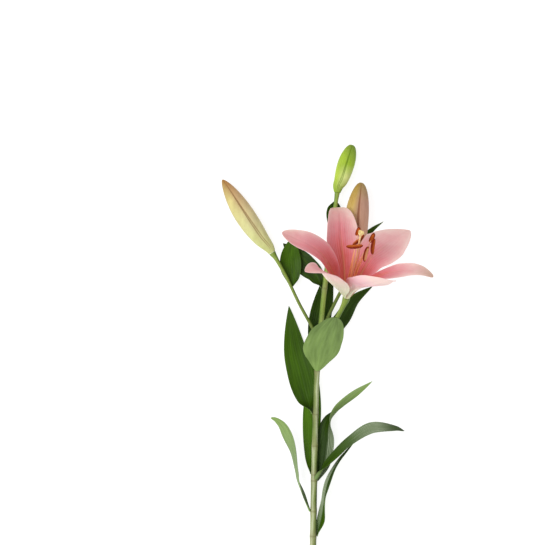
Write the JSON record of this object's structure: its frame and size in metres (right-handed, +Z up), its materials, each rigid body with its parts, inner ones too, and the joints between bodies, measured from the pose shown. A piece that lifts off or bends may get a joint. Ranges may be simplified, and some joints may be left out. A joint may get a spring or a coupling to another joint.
{
  "type": "cut lily stem",
  "caption": "Cut stem of a pink lily lying on a surface, with an open flower, closed buds and narrow pointed leaves.",
  "frame": {"origin": "on the surface that the stem lies on, under the middle of its outline", "axes": "+Y along the stem from its cut end to the flower, +Z up from the surface, +X to the right"},
  "size_m": [0.208, 0.5164, 0.1067],
  "materials": {
    "stem_green": "satin",
    "leaf_green": "satin",
    "petal_pink": "matte",
    "bud_green": "satin",
    "bud_tan": "satin",
    "filament_pink": "satin",
    "pollen_rust": "matte",
    "style_cream": "satin"
  },
  "bodies": {
    "root": {"stem": "stem_green", "flower_pedicel": "stem_green", "tan_bud_pedicel": "stem_green", "side_bud_pedicel": "stem_green", "side_bud": "bud_tan", "tan_bud": "bud_tan", "terminal_bud": "bud_green", "pistil": "style_cream", "front_leaf": "leaf_green", "left_broad_leaf": "leaf_green", "under_leaf": "leaf_green", "twisted_leaf": "leaf_green", "arching_leaf": "leaf_green", "low_right_leaf": "leaf_green", "low_left_leaf": "leaf_green", "back_leaf": "leaf_green", "right_fork_leaf": "leaf_green", "left_fork_leaf": "leaf_green", "side_pedicel_leaf": "leaf_green", "terminal_bract": "leaf_green", "tan_pedicel_bract": "leaf_green", "left_tepal": "petal_pink", "top_tepal": "petal_pink", "upper_right_tepal": "petal_pink", "right_tepal": "petal_pink", "front_right_tepal": "petal_pink", "front_left_tepal": "petal_pink", "filament_1": "filament_pink", "anther_1": "pollen_rust", "filament_2": "filament_pink", "anther_2": "pollen_rust", "filament_3": "filament_pink", "anther_3": "pollen_rust", "filament_4": "filament_pink", "anther_4": "pollen_rust", "filament_5": "filament_pink", "anther_5": "pollen_rust", "filament_6": "filament_pink", "anther_6": "pollen_rust"}
  },
  "joints": []
}
